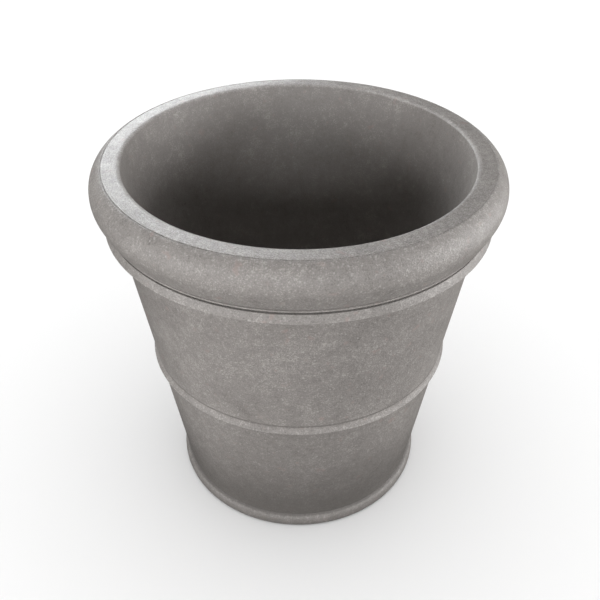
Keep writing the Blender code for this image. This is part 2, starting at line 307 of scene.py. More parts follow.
def radial_bars(name, places, length, width, low, high, edge=0.0):
    """Upright boxes in one mesh, each with its length along its own radius, with rounded edges."""
    shape = bmesh.new()
    for angle, place in places:
        bar = bmesh.new()
        bmesh.ops.create_cube(bar, size=1.0)
        bmesh.ops.scale(bar, verts=bar.verts, vec=(length, width, high - low))
        if edge:
            bmesh.ops.bevel(bar, geom=bar.edges[:], offset=edge, segments=3, profile=0.5, affect="EDGES")
        bmesh.ops.rotate(bar, verts=bar.verts, matrix=Matrix.Rotation(angle, 3, "Z"))
        bmesh.ops.translate(bar, verts=bar.verts, vec=(*place, (low + high) / 2))
        loose = bpy.data.meshes.new(name)
        bar.to_mesh(loose)
        bar.free()
        shape.from_mesh(loose)
        bpy.data.meshes.remove(loose)
    return finished(name, shape)


def around(count, radius, turn=0.0):
    """Angles, and the places at them, spaced evenly on a circle about Z."""
    for i in range(count):
        angle = turn + 2 * pi * i / count
        yield angle, (radius * cos(angle), radius * sin(angle))


def thread(name, radius, low, high, pitch, depth, steps=32, place=(0.0, 0.0)):
    """A screw thread's ridge, which rises from nothing at both ends. It is sunk a little into its shaft."""
    shape = bmesh.new()
    turns = (high - low) / pitch
    count = max(8, int(turns * steps))
    root_half = 0.42 * pitch
    crest_half = 0.12 * pitch
    out = radius - 0.3 * depth
    rings = []
    for i in range(count + 1):
        along = i / count
        angle = 2 * pi * turns * along
        swell = min(1.0, 6 * along, 6 * (1 - along)) + 1e-3
        height = low + (high - low) * along
        crest = out + 1.3 * depth * swell
        profile = [(out, -root_half), (crest, -crest_half), (crest, crest_half), (out, root_half)]
        ring = []
        for r, z in profile:
            spot = (place[0] + r * cos(angle), place[1] + r * sin(angle), height + z)
            ring.append(shape.verts.new(spot))
        rings.append(ring)
    for first, second in zip(rings, rings[1:]):
        for j in range(4):
            k = (j + 1) % 4
            shape.faces.new((first[j], second[j], second[k], first[k]))
    shape.faces.new(rings[0])
    shape.faces.new(rings[-1][::-1])
    bmesh.ops.recalc_face_normals(shape, faces=shape.faces)
    return finished(name, shape)


# Shader maths


class Signal:
    """A value on one node's socket, with the arithmetic that the finishes use."""

    def __init__(self, finish, socket):
        self.finish = finish
        self.socket = socket

    def maths(self, operation, first, second):
        values = {0: first, 1: second}
        return self.finish.node("ShaderNodeMath", {"operation": operation}, values)

    def __add__(self, other):
        return self.maths("ADD", self, other)

    def __radd__(self, other):
        return self.maths("ADD", other, self)

    def __sub__(self, other):
        return self.maths("SUBTRACT", self, other)

    def __rsub__(self, other):
        return self.maths("SUBTRACT", other, self)

    def __mul__(self, other):
        return self.maths("MULTIPLY", self, other)

    def __rmul__(self, other):
        return self.maths("MULTIPLY", other, self)

    def high(self, other):
        return self.maths("MAXIMUM", self, other)

    def fade(self, start, end):
        """0 at start, 1 at end, and an easy curve between."""
        settings = {"interpolation_type": "SMOOTHSTEP"}
        values = {"Value": self, "From Min": start, "From Max": end, "To Min": 0.0, "To Max": 1.0}
        return self.finish.node("ShaderNodeMapRange", settings, values)


class Finish:
    """A material whose nodes are added by expressions. Places are in metres, in the pot's own frame."""

    def __init__(self, name):
        self.material = bpy.data.materials.new(name)
        self.material.use_nodes = True
        self.tree = self.material.node_tree
        self.shader = self.tree.nodes["Principled BSDF"]
        self.place = self.node("ShaderNodeTexCoord", {}, {}, "Object")

    def node(self, kind, settings, values, output=0):
        """Add a node, set its settings and then its sockets, and return one of its outputs."""
        made = self.tree.nodes.new(kind)
        for key, value in settings.items():
            setattr(made, key, value)
        for key, value in values.items():
            self.feed(made.inputs[key], value)
        return Signal(self, made.outputs[output])

    def feed(self, socket, value):
        if isinstance(value, Signal):
            self.tree.links.new(value.socket, socket)
        else:
            socket.default_value = value

    def set(self, **values):
        """Set or link the surface shader's sockets, named with underscores for spaces."""
        for key, value in values.items():
            self.feed(self.shader.inputs[key.replace("_", " ")], value)

    def shifted(self, offset):
        """The place, moved, so that two patterns of one kind don't coincide."""
        return self.node("ShaderNodeVectorMath", {"operation": "ADD"}, {0: self.place, 1: offset})

    def noise(self, size, detail, roughness, offset, distortion=0.0):
        """Soft noise about 0, with features of this size in metres."""
        values = {
            "Vector": self.shifted(offset),
            "Scale": 1 / size,
            "Detail": detail,
            "Roughness": roughness,
            "Distortion": distortion,
        }
        return self.node("ShaderNodeTexNoise", {}, values) - 0.5

    def cells(self, size, offset, output="Distance"):
        """The distance to the nearest of points scattered this far apart, as a share of that."""
        values = {"Vector": self.shifted(offset), "Scale": 1 / size, "Randomness": 1.0}
        return self.node("ShaderNodeTexVoronoi", {"feature": "F1"}, values, output)

    def cell_draw(self, size, offset):
        """A value from 0 to 1 that is drawn anew for each of the same scattered points."""
        return self.node("ShaderNodeSeparateColor", {}, {0: self.cells(size, offset, "Color")})

    def level(self):
        """Height above the ground."""
        return self.node("ShaderNodeSeparateXYZ", {}, {0: self.place}, "Z")

    def reach(self):
        """Distance from the pot's axis."""
        values = {0: self.place, 1: (1.0, 1.0, 0.0)}
        flat = self.node("ShaderNodeVectorMath", {"operation": "MULTIPLY"}, values)
        return self.node("ShaderNodeVectorMath", {"operation": "LENGTH"}, {0: flat}, "Value")

    def lines(self, places):
        """1 along rings at these heights, fading out over the width given with each."""
        level = self.level()
        total = level * 0.0
        for height, width in places:
            off = level - height
            total = total.high((off * off).fade(width ** 2, (0.25 * width) ** 2))
        return total

    def painted_ground_shade(self):
        """Painted shade near the ground: 1 on the wall just over the plinth, fading out higher up, and
        little on the plinth, whose top catches light from above.
        """
        level = self.level()
        return level.fade(*GROUND_SHADE_HEIGHTS) * (0.5 + 0.5 * level.fade(*PLINTH_HEIGHTS))

    def mix(self, amount, first, second):
        """A colour between two, by an amount from 0 to 1."""
        settings = {"data_type": "RGBA", "clamp_factor": True}
        values = {0: amount, 6: colour_value(first), 7: colour_value(second)}
        return self.node("ShaderNodeMix", settings, values, 2)

    def bump(self, height, depth):
        """A surface that stands proud where height is high, by this depth in metres for each unit."""
        values = {"Strength": 1.0, "Distance": depth, "Height": height}
        return self.node("ShaderNodeBump", {}, values)


def colour_value(colour):
    return colour if isinstance(colour, Signal) else (*colour[:3], 1.0)


# Sizes, colours and studio, as a user would change them


def length_property(label, words, value):
    return FloatProperty(name=label, description=words, default=value, min=0.0, unit="LENGTH", precision=4)


def colour_property(label, words, value):
    return FloatVectorProperty(
        name=label, description=words, default=value, size=3, min=0.0, max=1.0, subtype="COLOR"
    )


def share_property(label, words, value, most=1.0):
    return FloatProperty(name=label, description=words, default=value, min=0.0, max=most, subtype="FACTOR")


class PlanterSizes(bpy.types.PropertyGroup):
    """Sizes of the two large pieces."""

    height: length_property("Height", "Ground to the rim's flat top", CAD_BOX[1].z)
    rim_radius: length_property("Rim radius", "Widest radius of the rolled rim", CAD_BOX[1].x)
    roll_radius: length_property("Roll radius", "Radius of the rolled rim's section", 0.0395)
    top_radius: length_property("Flat top radius", "Outer radius of the rim's flat top", 0.3072)
    groove: length_property("Top groove", "Depth of the line round the flat top", 0.0012)
    mouth_radius: length_property("Mouth radius", "Inside of the liner, just under the rim", 0.2783)
    mouth_edge: length_property("Mouth rounding", "Width of the rounding into the mouth", 0.0095)
    mouth_drop: length_property("Mouth rounding drop", "Height of that rounding", 0.0042)
    skirt_radius: length_property("Skirt radius", "Outside of the rim's skirt", 0.3085)
    bead_radius: length_property("Bead radius", "Outside of the bead along the skirt's foot", 0.3114)
    bead_height: length_property("Bead height", "Height of the bead along the skirt's foot", 0.0030)
    foot_radius: length_property("Wall radius at ground", "The tapered wall carried to the ground", 0.2216)
    taper: share_property("Taper", "Growth of radius for each unit of height", 0.1375)
    shell_wall: length_property("Shell wall", "Thickness of the shell", 0.0065)
    liner_wall: length_property("Liner wall", "Thickness of the liner", 0.0060)
    collar_edge_height: length_property("Collar edge height", "Height of the collar's lower edge", 0.5465)
    collar_drop: length_property("Collar undercut", "Drop from the collar's edge to the wall", 0.0040)
    band_edge_radius: length_property("Band edge radius", "Radius of the mid band's edge", 0.2673)
    band_edge_height: length_property("Band edge height", "Height of the mid band's edge", 0.2820)
    band_rise: length_property("Band rise", "Height of the band's flare", 0.0125)
    plinth_radius: length_property("Plinth radius", "Widest radius of the plinth", 0.2335)
    plinth_top: length_property("Plinth top", "Height where the plinth meets the wall", 0.0252)


class PlanterColours(bpy.types.PropertyGroup):
    """Colours and texture sizes of the finishes."""

    stone: colour_property("Stone", "Body colour of the weathered stone finish", (0.262, 0.244, 0.231))
    stone_pale: colour_property("Pale mottling", "Lighter clouds in the stone", (0.400, 0.375, 0.355))
    stone_dark: colour_property("Dark mottling", "Darker clouds in the stone", (0.150, 0.138, 0.129))
    blush: colour_property("Blush", "Pinkish patches in the stone", (0.330, 0.255, 0.235))
    # fleck_and_highlight: pale specks, and also the painted highlight along edges
    fleck_and_highlight: colour_property("Flecks", "Pale specks and worn edges of the stone", (0.47, 0.45, 0.43))
    # painted_shade: the dark colour of the painted shade in the creases and near the ground
    painted_shade: colour_property("Grime", "Dirt in the creases and damp near the ground", (0.085, 0.078, 0.072))
    grain: length_property("Grain", "Size of the finish's fine grain", 0.0021)
    grain_depth: length_property("Grain depth", "Height of the fine grain", 0.00022)
    stone_roughness: share_property("Stone roughness", "Roughness of the stone finish", 0.52)
    rubber: colour_property("Rubber", "Colour of the rubber pieces", (0.045, 0.044, 0.042))
    plastic: colour_property("Plastic", "Colour of the drain fittings", (0.028, 0.028, 0.030))
    steel: colour_property("Steel", "Colour of the screws", (0.60, 0.59, 0.57))
    brass: colour_property("Brass", "Colour of the inserts", (0.70, 0.50, 0.22))


class PlanterStudio(bpy.types.PropertyGroup):
    """Camera, floor and lights."""

    camera_height: length_property("Camera height", "Height of the camera", 1.1685)
    camera_distance: length_property("Camera distance", "Distance of the camera from the axis", 1.0829)
    camera_pitch: FloatProperty(
        name="Camera pitch",
        description="How far the camera looks down",
        default=radians(37.126),
        subtype="ANGLE",
    )
    camera_lens: FloatProperty(name="Lens", description="Focal length in millimetres", default=44.78)
    camera_shift: FloatProperty(name="Shift", description="Sideways shift of the frame", default=0.002)
    floor: colour_property("Floor", "Colour of the floor", (0.86, 0.86, 0.86))
    light: FloatProperty(name="Light", description="Strength of all the softboxes", default=1.0, min=0.0)
    light_distance: length_property("Light distance", "From the pot's middle to each softbox", 3.0)
    dome: FloatProperty(name="Dome", description="Strength of the white dome", default=1.26, min=0.0)
    dome_radius: length_property("Dome radius", "Radius of the white dome", 25.0)


# Sections of the two large pieces


def cone_radius(sizes, height):
    return sizes.foot_radius + sizes.taper * height


def level_width(sizes, thickness):
    """The width, measured level, of a tapered wall of this thickness."""
    return thickness * sqrt(1 + sizes.taper ** 2)


def liner_inside(sizes, height):
    return sizes.mouth_radius - sizes.taper * (sizes.height - sizes.mouth_drop - height)


def with_rounding(points, rounding=0.0):
    return [(radius, height, rounding) for radius, height in points]


def shell_section(sizes):
    """Outer side from the spigot down, across the base, and up the inside."""
    spigot_top = node_high("outer_shell").z
    collar_top = node_low("rim_gasket").z - CLEARANCE
    collar_radius = node_high("outer_shell").x
    collar_top_radius = collar_radius - (collar_top - sizes.collar_edge_height) * COLLAR_TAPER
    undercut = sizes.collar_edge_height - sizes.collar_drop
    wall = level_width(sizes, sizes.shell_wall)
    collar = [
        (SPIGOT_RADIUS, spigot_top, 0.0016),
        (SPIGOT_RADIUS, collar_top, 0.0006),
        (collar_top_radius, collar_top, 0.0012),
        (collar_radius, sizes.collar_edge_height, 0.0007),
        (collar_radius - 0.0022, sizes.collar_edge_height - 0.0016, 0.0008),
        (cone_radius(sizes, undercut), undercut, 0.0026),
    ]
    band_low = sizes.band_edge_height - 0.0026
    band_top = sizes.band_edge_height + sizes.band_rise
    above_band = band_top + 0.004
    band = [(cone_radius(sizes, above_band), above_band, 0.0)]
    band += with_rounding(flare(sizes, band_top))
    band += [
        (sizes.band_edge_radius, sizes.band_edge_height, 0.0007),
        (sizes.band_edge_radius - 0.0014, sizes.band_edge_height - 0.0009, 0.0006),
        (cone_radius(sizes, band_low), band_low, 0.0020),
    ]
    return collar + band + plinth_section(sizes) + inside_section(sizes, wall, spigot_top)


def flare(sizes, top, steps=8):
    """The band's concave flare from the wall out towards its edge."""
    points = []
    for i in range(1, steps):
        along = i / steps
        height = top - along * sizes.band_rise
        out = sizes.band_edge_radius - cone_radius(sizes, height)
        points.append((cone_radius(sizes, height) + out * along ** 2.1, height))
    return points


def plinth_section(sizes):
    """The plinth's swelling, its contact edge and the ring that the shell stands on."""
    middle = 0.0113
    bulge = 0.0079
    ring_low = node_low("outer_shell").z
    start = cone_radius(sizes, sizes.plinth_top)
    bulge_radius = sizes.plinth_radius - bulge
    points = [(start, sizes.plinth_top, 0.0010)]
    points += with_rounding(arc((bulge_radius, middle), bulge, 66, 0, 12, 0.0127))
    points += [
        (sizes.plinth_radius - 0.0003, ring_low + 0.0030, 0.0),
        (sizes.plinth_radius - 0.0012, ring_low, 0.0009),
        (RECESS_RADIUS, ring_low, 0.0015),
        (RECESS_RADIUS + 0.0006, FLOOR_UNDERSIDE, 0.0030),
        (ACCESS_RADIUS, FLOOR_UNDERSIDE, 0.0012),
        (ACCESS_RADIUS, FLOOR_TOP, 0.0012),
    ]
    return points


def inside_section(sizes, wall, top):
    """The shell's inside, from the edge of its floor down into the gutter and up the wall."""
    gutter_inner = RECESS_RADIUS + sizes.shell_wall
    foot = cone_radius(sizes, GUTTER_FLOOR) - wall
    return [
        (gutter_inner, FLOOR_TOP, 0.0030),
        (gutter_inner, GUTTER_FLOOR, 0.0025),
        (foot, GUTTER_FLOOR, 0.0060),
        (cone_radius(sizes, top) - wall, top, 0.0020),
    ]


def liner_section(sizes):
    """Outer side from the flat top round the roll and bead, back under them, then down and up the cup."""
    roll = sizes.roll_radius
    centre = (sizes.rim_radius - roll, ROLL_HEIGHT)
    inner_roll = roll - sizes.liner_wall
    inner_skirt = sizes.skirt_radius - sizes.liner_wall
    wall = level_width(sizes, sizes.liner_wall)
    foot = node_high("rim_gasket").z + CLEARANCE
    ceiling = sizes.height - sizes.liner_wall
    groove_outer = sizes.top_radius + 1.9 * sizes.groove
    roll_start = degrees(acos((groove_outer - centre[0]) / roll))
    neck = (sizes.skirt_radius, foot + sizes.bead_height + 0.0010)
    outline = arc(centre, roll, roll_start, ROLL_END, 36)
    cheek = crossing(outline[-1], ROLL_END - 90, neck, UNDERSIDE)
    rim = [
        (sizes.top_radius, sizes.height, 0.0022),
        (sizes.top_radius + 0.7 * sizes.groove, sizes.height - sizes.groove, 0.0012),
    ]
    rim += with_rounding(outline)
    rim[2] = (*rim[2][:2], 0.0012)
    rim += [
        (*cheek, CHEEK_ROUNDING),
        (*neck, 0.0004),
        (sizes.bead_radius, foot + sizes.bead_height - 0.0004, 0.0010),
        (sizes.bead_radius, foot, 0.0010),
        (inner_skirt, foot, 0.0008),
    ]
    inner_start = -degrees(acos((inner_skirt - centre[0]) / inner_roll))
    inner_end = degrees(asin((ceiling - centre[1]) / inner_roll))
    rim += with_rounding(arc(centre, inner_roll, inner_start, inner_end, 16))
    rim += [(liner_inside(sizes, ceiling) + wall, ceiling, 0.0030)]
    under = node_low("liner").z
    floor = under + sizes.liner_wall
    cup = [
        (liner_inside(sizes, under) + wall, under, 0.0140),
        (OUTLET_HOLE, under, 0.0006),
        (OUTLET_HOLE, floor, 0.0006),
        (liner_inside(sizes, floor), floor, 0.0120),
    ]
    mouth_centre = (sizes.mouth_radius + sizes.mouth_edge, sizes.height - sizes.mouth_drop)
    mouth = arc(mouth_centre, sizes.mouth_edge, 178, 90, 12, sizes.mouth_drop)
    return rim + cup + with_rounding(mouth)


# Finishes


def stone_finish(name, colours, offset, wear_and_highlight=(), painted_crease_shade=(), painted_ground_shade=False):
    """Weathered stone, paler on edges (partly wear, partly painted highlight) and darker in creases
    (painted shade), which are given as (height, width). The shell's finish also has painted shade near the
    ground.
    """
    finish = Finish(name)
    level = finish.level()
    shell_part = level.fade(*SHELL_HEIGHTS) * (1.0 if painted_ground_shade else 0.0)
    outside = finish.reach().fade(*RIM_RADII).high(shell_part)
    flat_top = level.fade(*TOP_HEIGHTS)
    clouds = finish.noise(CLOUD_SIZE, 2.0, 0.5, offset)
    mottle = finish.noise(MOTTLE_SIZE, 3.0, 0.6, offset, 0.4)
    blotch = finish.noise(BLOTCH_SIZE, 2.0, 0.6, offset)
    grain = finish.noise(colours.grain, 2.0, 0.7, offset)
    speckle = (0.6 + 0.4 * outside + 0.5 * flat_top) * (1.0 * blotch + 2.5 * grain)
    tone = 0.5 + 0.8 * clouds + 0.9 * mottle + speckle
    body = finish.mix(tone.fade(-0.45, 0.55), colours.stone_dark, colours.stone)
    body = finish.mix(tone.fade(0.55, 1.15), body, colours.stone_pale)
    patches = finish.noise(PATCH_SIZE, 1.0, 0.5, (offset[1] + 3.1, offset[0] - 1.7, 0.4))
    body = finish.mix(patches.fade(0.16, 0.30) * 0.5, body, colours.blush)
    chosen = finish.cell_draw(DOT_SPACING, offset).fade(0.45, 0.95)
    near = 1 - finish.cells(DOT_SPACING, offset)
    dots = near.fade(0.62, 0.92) * chosen * (0.3 + 0.7 * outside)
    body = finish.mix(dots * 0.55, body, colours.fleck_and_highlight)
    # Pale lines along edges: partly wear, partly painted highlight where the edges catch the light
    edges = finish.lines(wear_and_highlight) * (blotch + grain).fade(0.0, 0.22) * outside
    body = finish.mix(edges * 0.3, body, colours.fleck_and_highlight)
    # Painted shade: dark lines in the creases, where shade falls
    creases = finish.lines(painted_crease_shade) * (0.8 + 1.2 * mottle) * outside
    body = finish.mix(creases * 0.6, body, colours.painted_shade)
    # Painted shade near the ground: the wall is darkened towards the bottom, less on the plinth's top
    if painted_ground_shade:
        body = finish.mix(finish.painted_ground_shade() * 0.75, body, colours.painted_shade)
    roughness = colours.stone_roughness - 0.10 * mottle - 0.15 * grain
    roughness = roughness + 0.15 * creases - 0.16 * flat_top
    relief = (0.4 + 0.6 * outside) * (1.0 * grain + 0.5 * blotch) + 0.5 * mottle + 0.10 * dots
    normal = finish.bump(relief, colours.grain_depth * 4)
    finish.set(Base_Color=body, Roughness=roughness, Normal=normal)
    return finish.material


def rubber_finish(name, colours, offset):
    """Dark matte rubber with a chalky bloom."""
    finish = Finish(name)
    bloom = finish.noise(0.012, 3.0, 0.6, offset)
    grain = finish.noise(0.0009, 2.0, 0.6, offset)
    tone = (0.45 + 1.1 * bloom + 0.5 * grain).fade(0.1, 1.0)
    body = finish.mix(tone, scale_colour(colours.rubber, 0.7), scale_colour(colours.rubber, 2.4))
    roughness = 0.78 + 0.16 * bloom
    finish.set(Base_Color=body, Roughness=roughness, Normal=finish.bump(grain, 0.00008))
    return finish.material


def plastic_finish(name, colours, offset):
    """Moulded black plastic with a spark-eroded texture and a little dust."""
    finish = Finish(name)
    dust = finish.noise(0.018, 4.0, 0.65, offset)
    texture = finish.noise(0.0007, 1.0, 0.5, offset)
    body = finish.mix(dust.fade(-0.05, 0.35) * 0.35, colours.plastic, scale_colour(colours.plastic, 5.0))
    roughness = 0.42 + 0.25 * dust + 0.10 * texture
    finish.set(Base_Color=body, Roughness=roughness, Normal=finish.bump(texture, 0.00005))
    return finish.material


def metal_finish(name, colour, roughness, offset):
    """Turned metal with fine scratches and slightly dulled patches."""
    finish = Finish(name)
    dull = finish.noise(0.006, 3.0, 0.6, offset)
    scratches = finish.noise(0.0004, 1.0, 0.5, offset, 2.0)
    body = finish.mix(dull.fade(-0.2, 0.3), scale_colour(colour, 0.75), colour)
    finish.set(Base_Color=body, Roughness=roughness + 0.2 * dull + 0.1 * scratches)
    finish.set(Metallic=1.0, Normal=finish.bump(scratches, 0.00002))
    return finish.material


def scale_colour(colour, factor):
    return tuple(min(1.0, part * factor) for part in colour[:3])


def paint(piece, material):
    piece.data.materials.clear()
    piece.data.materials.append(material)


def hang(piece, body, slot, *nodes):
    """Hang a piece on the body it moves with, in place of its plain nodes."""
    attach(piece, body)
    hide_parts(*nodes)


# Pieces


def foot_places():
    """The middles of the feet, from the frame."""
    places = []
    for number in range(1, FOOT_COUNT + 1):
        low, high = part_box(f"foot_pad_{number}")
        places.append(((low.x + high.x) / 2, (low.y + high.y) / 2))
    return places


class PLANTER_OT_outer_shell(bpy.types.Operator):
    """Make the tapered outer shell with its collar, band, plinth, floor and ribs"""

    bl_idname = "planter.outer_shell"
    bl_label = "Outer Shell"

    def execute(self, context):
        sizes = context.scene.planter_sizes
        shell = turned("planter_shell", rounded(shell_section(sizes)))
        places = foot_places()
        ribs = list(around(RIB_COUNT, RIB_CIRCLE, pi / RIB_COUNT))
        weeps = [place for _, place in around(FOOT_COUNT, hypot(*places[0]), pi / FOOT_COUNT)]
        rib_low = (FLOOR_UNDERSIDE + FLOOR_TOP) / 2
        insert_low, insert_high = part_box("foot_insert_1")
        insert_radius = (insert_high.y - insert_low.y) / 2 + RUNNING
        pocket = (node_high("foot_pad_1").y - node_low("foot_pad_1").y) / 2 + RUNNING
        solids = [
            radial_bars("ribs", ribs, *RIB_SIZE, rib_low, RIB_TOP, 0.0012),
            pegs("bosses", places, BOSS_RADIUS, (POCKET_TOP + GUTTER_FLOOR) / 2, BOSS_TOP),
        ]
        holes = [
            pegs("pockets", places, pocket, -POCKET_TOP, POCKET_TOP, SMALL_STEPS),
            pegs("insert_holes", places, insert_radius, -POCKET_TOP, insert_high.z + CLEARANCE, BORE_STEPS),
            pegs("weep_holes", weeps, WEEP_RADIUS, -POCKET_TOP, BOSS_TOP, BORE_STEPS),
        ]
        combine(shell, solids, "UNION")
        combine(shell, holes)
        colours = context.scene.planter_colours
        # Paler edges, partly wear and partly painted highlight: the collar's and band's edges and the
        # plinth's top
        wear_and_highlight = ((sizes.collar_edge_height, 0.0024), (sizes.band_edge_height, 0.0024), (0.0215, 0.0030))
        # Painted shade in the creases under the collar and the band, on the band's top, over the plinth and
        # at the ground
        painted_crease_shade = (
            (sizes.collar_edge_height - sizes.collar_drop, 0.0030),
            (sizes.band_edge_height - 0.0036, 0.0030),
            (sizes.band_edge_height + sizes.band_rise, 0.0025),
            (sizes.plinth_top, 0.0030),
            (0.0015, 0.0040),
        )
        paint(shell, stone_finish("weathered stone, shell", colours, ORIGIN, wear_and_highlight, painted_crease_shade, True))
        hang(shell, "shell", "shell_stone", "outer_shell")
        return {"FINISHED"}


class PLANTER_OT_liner(bpy.types.Operator):
    """Make the liner with its rolled rim"""

    bl_idname = "planter.liner"
    bl_label = "Liner and Rim"

    def execute(self, context):
        sizes = context.scene.planter_sizes
        liner = turned("planter_liner", rounded(liner_section(sizes)))
        bead = node_high("rim_gasket").z + sizes.bead_height
        # A paler line on the mouth's rounding, partly wear and partly a painted glint
        wear_and_highlight = ((sizes.height - sizes.mouth_drop / 2, 0.0020),)
        # Painted shade in the neck under the roll, just over the bead
        painted_crease_shade = ((bead + 0.0016, 0.0022),)
        colours = context.scene.planter_colours
        paint(liner, stone_finish("weathered stone, liner", colours, (0.37, 0.81, 0.23), wear_and_highlight, painted_crease_shade))
        hang(liner, "liner", "liner_stone", "liner")
        return {"FINISHED"}


class PLANTER_OT_gasket(bpy.types.Operator):
    """Make the gasket between the rim's skirt and the collar"""

    bl_idname = "planter.gasket"
    bl_label = "Rim Gasket"

    def execute(self, context):
        low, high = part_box("rim_gasket")
        inner = high.x - (context.scene.planter_sizes.liner_wall + CLEARANCE)
        section = [
            (high.x - 0.0008, high.z, 0.0008),
            (high.x, (low.z + high.z) / 2, 0.0010),
            (high.x - 0.0008, low.z, 0.0008),
            (inner, low.z, 0.0004),
            (inner, high.z, 0.0004),
        ]
        gasket = turned("seam_gasket", rounded(section))
        paint(gasket, rubber_finish("dark rubber, gasket", context.scene.planter_colours, ORIGIN))
        hang(gasket, "shell", "gasket_rubber", "rim_gasket")
        return {"FINISHED"}


class PLANTER_OT_drain_outlet(bpy.types.Operator):
    """Make the drain outlet with its thread, washer and nut"""

    bl_idname = "planter.drain_outlet"
    bl_label = "Drain Outlet"

    def execute(self, context):
        colours = context.scene.planter_colours
        plastic = plastic_finish("black plastic, outlet", colours, ORIGIN)
        low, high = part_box("drain_outlet")
        washer_low, washer_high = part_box("outlet_washer")
        flange_low = washer_high.z + CLEARANCE
        core = TUBE_RADIUS - 0.0007
        section = [
            (high.x, high.z, 0.0016),
            (high.x, flange_low, 0.0005),
            (core, flange_low, 0.0004),
            (core, low.z, 0.0009),
            (BORE_RADIUS, low.z, 0.0006),
            (BORE_RADIUS, high.z, 0.0030),
        ]
        outlet = turned("outlet_fitting", rounded(section, steps=5), SMALL_STEPS)
        ridge = thread("outlet_thread", core, low.z + 0.0030, THREAD_TOP, 0.0026, 0.0006, 48)
        join(outlet, [ridge])
        places = list(around(4, high.x - 0.0075, pi / 4))
        lug_low = high.z - 0.0010
        lug_high = high.z - 0.0001
        lugs = radial_bars("outlet_lugs", places, 0.0060, 0.0030, lug_low, lug_high, 0.0003)
        join(outlet, [lugs])
        paint(outlet, plastic)
        hang(outlet, "liner", "fitting_plastic", "drain_outlet")
        ring = [
            (washer_high.x, washer_high.z, 0.0007),
            (washer_high.x, washer_low.z, 0.0007),
            (OUTLET_HOLE, washer_low.z, 0.0003),
            (OUTLET_HOLE, washer_high.z, 0.0003),
        ]
        washer = turned("outlet_seal", rounded(ring), SMALL_STEPS)
        paint(washer, rubber_finish("dark rubber, outlet washer", colours, (0.2, 0.1, 0.0)))
        hang(washer, "liner", "gasket_rubber", "outlet_washer")
        self.nut(plastic)
        return {"FINISHED"}

    def nut(self, plastic):
        """A hexagon with its corners turned off, and a clear bore."""
        low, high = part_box("outlet_nut")
        corner = max(high.x - low.x, high.y - low.y) / 2
        flat = corner * cos(pi / 6)
        nut = pegs("outlet_lock_nut", [(0.0, 0.0)], corner, low.z, high.z, 6)
        chamfer = 0.0018
        edge = 0.0004
        section = [
            (0.0, high.z, 0.0),
            (flat, high.z, edge),
            (corner + edge, high.z - chamfer, edge),
            (corner + edge, low.z + chamfer, edge),
            (flat, low.z, edge),
            (0.0, low.z, 0.0),
        ]
        blank = turned("turned_down", rounded(section, False), SMALL_STEPS, False)
        combine(nut, [blank], "INTERSECT")
        combine(nut, [pegs("nut_bore", [(0.0, 0.0)], TUBE_RADIUS + RUNNING, 0.0, 1.0, SMALL_STEPS)])
        paint(nut, plastic)
        hang(nut, "liner", "fitting_plastic", "outlet_nut")


class PLANTER_OT_strainer(bpy.types.Operator):
    """Make the slotted dome over the drain"""

    bl_idname = "planter.strainer"
    bl_label = "Drain Strainer"

    def execute(self, context):
        low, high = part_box("drain_strainer")
        radius = high.x
        wall = 0.0034
        edge = 0.0008
        inside = radius - wall
        shoulder = radius / 3
        centre = (radius - shoulder, high.z - shoulder)
        section = [(0.0, high.z)]
        section += arc(centre, shoulder, 90, 0, 14)
        section += fillet(section[-1], (radius, low.z), (inside, low.z), edge, 4)
        section += fillet((radius, low.z), (inside, low.z), (inside, high.z), edge, 4)
        section += arc(centre, shoulder - wall, 0, 90, 10)
        section += [(0.0, high.z - wall)]
        strainer = turned("strainer_dome", section, 96, False)
        slots = list(around(12, radius - shoulder / 4))
        holes = [place for _, place in around(6, shoulder)]
        slot_low = node_high("drain_outlet").z + 0.0020
        cuts = [
            radial_bars("slots", slots, shoulder, wall, slot_low, high.z - shoulder / 4, edge),
            pegs("holes", holes, wall / 2, low.z + shoulder, high.z + wall, 24),
        ]
        combine(strainer, cuts)
        colours = context.scene.planter_colours
        paint(strainer, plastic_finish("black plastic, strainer", colours, (0.3, 0.0, 0.1)))
        hang(strainer, "strainer", "fitting_plastic", "drain_strainer")
        return {"FINISHED"}


class PLANTER_OT_stopper(bpy.types.Operator):
    """Make the stopper that is pulled out below the drain"""

    bl_idname = "planter.stopper"
    bl_label = "Drain Stopper"

    def execute(self, context):
        low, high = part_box("drain_stopper")
        flange_top = node_low("drain_outlet").z - CLEARANCE
        plug = BORE_RADIUS - CLEARANCE
        valley = plug - 0.0009
        section = [(0.0, high.z, 0.0), (plug - 0.0014, high.z, 0.0008)]
        grips = 3
        pitch = (high.z - flange_top - 0.0030) / grips
        for i in range(grips):
            top = high.z - 0.0015 - i * pitch
            section += [
                (plug, top, 0.0006),
                (plug, top - 0.35 * pitch, 0.0006),
                (valley, top - 0.55 * pitch, 0.0006),
                (valley, top - 0.85 * pitch, 0.0006),
            ]
        section += [
            (plug - 0.0004, flange_top, 0.0008),
            (high.x, flange_top, 0.0006),
            (high.x, flange_top - 0.0030, 0.0012),
            (plug / 3, flange_top - 0.0042, 0.0020),
            (plug / 3, low.z + 0.0060, 0.0018),
            (2 * plug / 3, low.z + 0.0030, 0.0012),
            (2 * plug / 3, low.z, 0.0009),
            (0.0, low.z, 0.0),
        ]
        stopper = turned("stopper_bung", rounded(section, False), SMALL_STEPS, False)
        colours = context.scene.planter_colours
        paint(stopper, rubber_finish("dark rubber, stopper", colours, (0.0, 0.4, 0.2)))
        hang(stopper, "stopper", "stopper_rubber", "drain_stopper")
        return {"FINISHED"}


